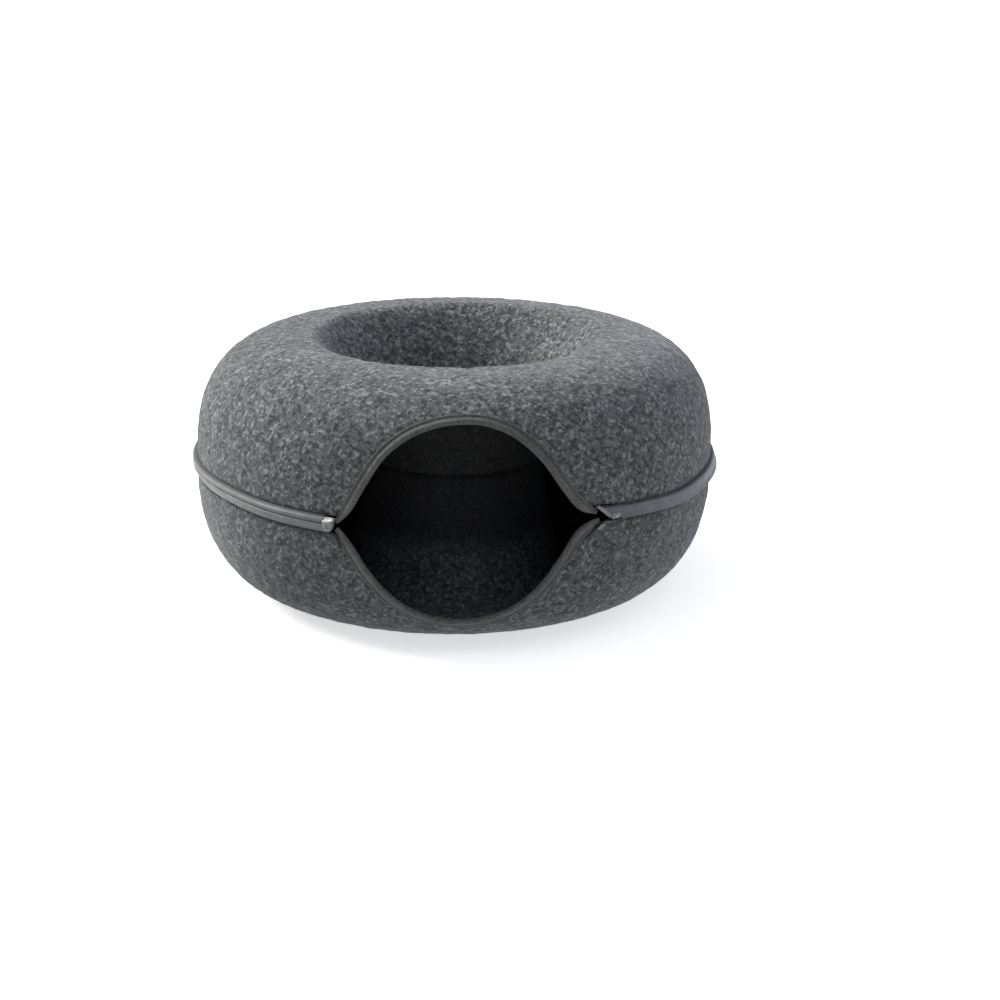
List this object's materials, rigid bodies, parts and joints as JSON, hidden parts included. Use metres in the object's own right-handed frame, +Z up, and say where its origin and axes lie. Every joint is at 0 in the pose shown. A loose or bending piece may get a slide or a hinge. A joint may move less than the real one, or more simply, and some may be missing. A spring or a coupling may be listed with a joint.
{
  "type": "felt cat cave",
  "caption": "Hollow doughnut-shaped cat cave of moulded grey felt in two half shells zipped round the middle, with a bound doorway in the side and an open central hole.",
  "frame": {"origin": "on the ground, under the middle of the whole outline", "axes": "+Z up; the doorway faces -Y, and +X is to the right as one looks into it"},
  "size_m": [0.4995, 0.4843, 0.238],
  "materials": {
    "felt": "heathered grey moulded felt of black, grey and white fibres, matt and slightly hairy",
    "binding": "smooth grey binding strip, folded over the cut edge and topstitched",
    "zip_tape": "smooth grey coated zip tape with a soft sheen",
    "zip_fitting": "light grey satin plastic"
  },
  "bodies": {
    "root": {"felt_upper": "felt", "felt_lower": "felt", "binding_upper": "binding", "binding_lower": "binding", "zip_tape_upper": "zip_tape", "zip_tape_lower": "zip_tape", "zip_end_clip": "zip_fitting", "zip_slider": "zip_fitting"}
  },
  "joints": []
}
